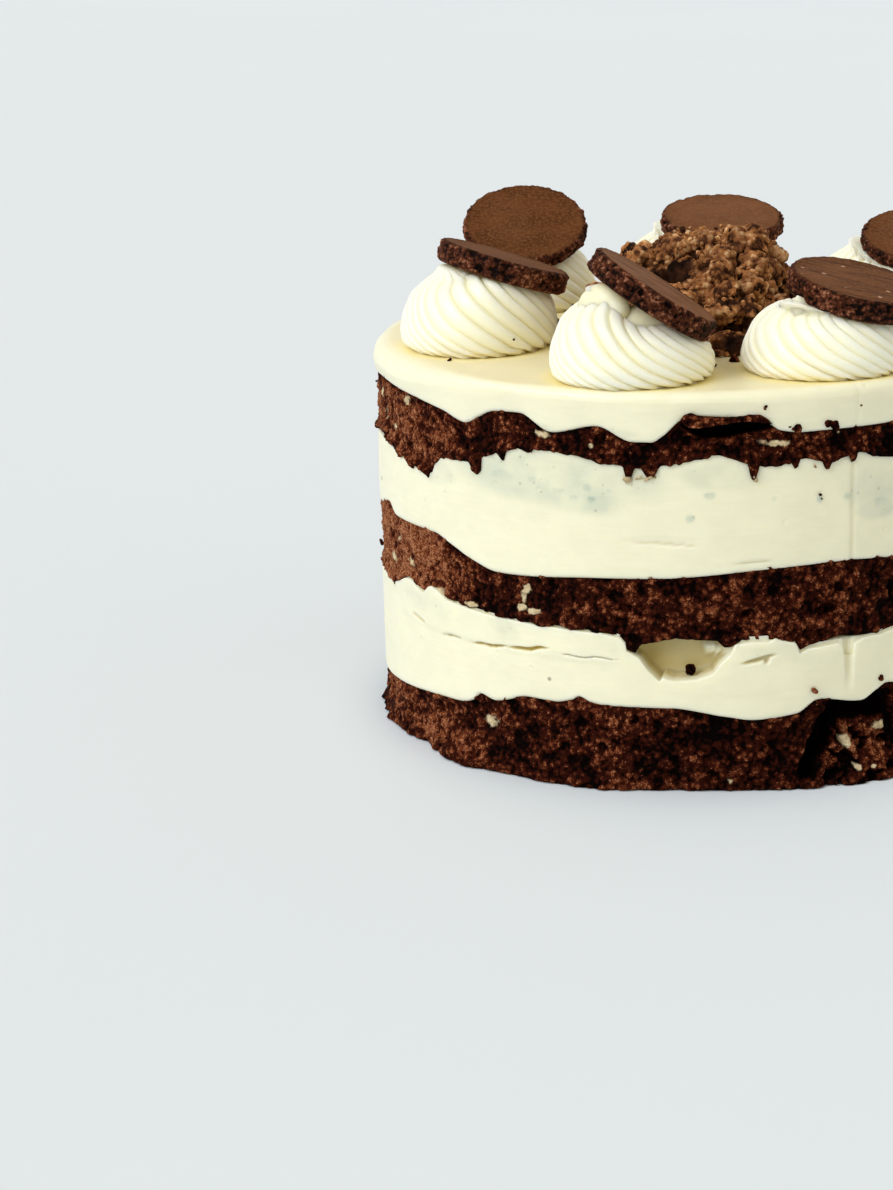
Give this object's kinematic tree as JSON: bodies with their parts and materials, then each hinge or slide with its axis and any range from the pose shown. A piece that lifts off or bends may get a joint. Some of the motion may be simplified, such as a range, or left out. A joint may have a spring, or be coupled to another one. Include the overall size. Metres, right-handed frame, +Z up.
{
  "type": "layer cake",
  "caption": "Round chocolate layer cake with bare sides: dark sponges, ivory cream, piped swirls with thin round biscuits, and a heap of cake crumbs on top.",
  "frame": {"origin": "centre of the cake's flat underside, on the axis of its round side", "axes": "+Z up along the cake's axis; -Y towards the side with the hollow in the lower cream, +X to the right of a viewer who faces that side"},
  "size_m": [0.152, 0.152, 0.1175],
  "materials": {
    "sponge": "matte",
    "cream": "satin",
    "piped_cream": "satin",
    "biscuit": "matte",
    "crumbs": "matte"
  },
  "bodies": {
    "root": {"sponge_bottom": "sponge", "cream_lower": "cream", "sponge_middle": "sponge", "cream_middle": "cream", "sponge_top": "sponge", "cream_top": "cream", "swirl_1": "piped_cream", "swirl_2": "piped_cream", "swirl_3": "piped_cream", "swirl_4": "piped_cream", "swirl_5": "piped_cream", "swirl_6": "piped_cream", "swirl_7": "piped_cream", "biscuit_1": "biscuit", "biscuit_2": "biscuit", "biscuit_3": "biscuit", "biscuit_4": "biscuit", "biscuit_5": "biscuit", "biscuit_6": "biscuit", "biscuit_7": "biscuit", "crumb_heap": "crumbs"}
  },
  "joints": []
}
